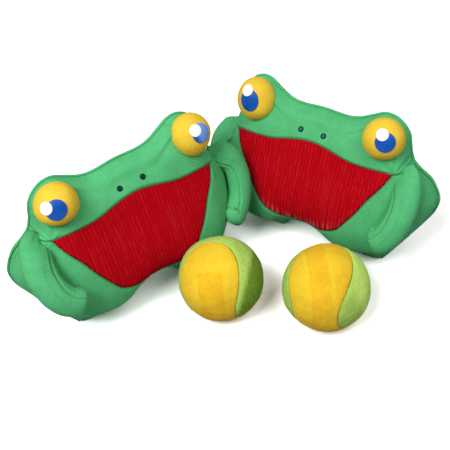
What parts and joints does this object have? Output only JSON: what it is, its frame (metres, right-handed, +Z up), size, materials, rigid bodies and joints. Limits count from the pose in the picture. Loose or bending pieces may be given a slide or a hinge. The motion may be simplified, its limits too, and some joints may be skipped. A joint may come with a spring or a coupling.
{
  "type": "hook and loop catch set",
  "caption": "Soft frog-faced catch mitts with ribbed loop-pile mouths, stuffed arms and hand straps, shown with round fabric balls that cling to them.",
  "frame": {"origin": "middle of the set's footprint on the surface that it stands on", "axes": "+Z up, -Y towards the viewer, so that both mouths face the front, +X to the viewer's right"},
  "size_m": [0.343, 0.2158, 0.1478],
  "materials": {
    "green_knit": "soft matte knit laminate",
    "red_loop": "ribbed loop pile",
    "eye_yellow": "soft matte dome",
    "iris_blue": "smooth patch with a slight sheen",
    "glint_white": "smooth patch",
    "nostril_dark": "embroidered dot",
    "stuffing_white": "fibre filling",
    "strap_green": "woven elastic",
    "ball_yellow": "napped fleece",
    "ball_lime": "napped fleece"
  },
  "bodies": {
    "root": {"left_mitt_head_panel": "green_knit", "left_mitt_belly_panel": "green_knit", "left_mitt_back_panel": "green_knit", "left_mitt_left_arm": "green_knit", "left_mitt_right_arm": "green_knit", "left_mitt_mouth_pad": "red_loop", "left_mitt_padding": "stuffing_white", "left_mitt_left_eye": "eye_yellow", "left_mitt_right_eye": "eye_yellow", "left_mitt_left_nostril": "nostril_dark", "left_mitt_right_nostril": "nostril_dark", "left_mitt_hand_strap": "strap_green", "left_mitt_left_iris": "iris_blue", "left_mitt_right_iris": "iris_blue", "left_mitt_left_glint": "glint_white", "left_mitt_right_glint": "glint_white", "right_mitt_head_panel": "green_knit", "right_mitt_belly_panel": "green_knit", "right_mitt_back_panel": "green_knit", "right_mitt_left_arm": "green_knit", "right_mitt_right_arm": "green_knit", "right_mitt_mouth_pad": "red_loop", "right_mitt_padding": "stuffing_white", "right_mitt_left_eye": "eye_yellow", "right_mitt_right_eye": "eye_yellow", "right_mitt_left_nostril": "nostril_dark", "right_mitt_right_nostril": "nostril_dark", "right_mitt_hand_strap": "strap_green", "right_mitt_left_iris": "iris_blue", "right_mitt_right_iris": "iris_blue", "right_mitt_left_glint": "glint_white", "right_mitt_right_glint": "glint_white", "ball_one_core": "stuffing_white", "ball_one_yellow_cover": "ball_yellow", "ball_one_lime_cover": "ball_lime", "ball_two_core": "stuffing_white", "ball_two_yellow_cover": "ball_yellow", "ball_two_lime_cover": "ball_lime"}
  },
  "joints": []
}
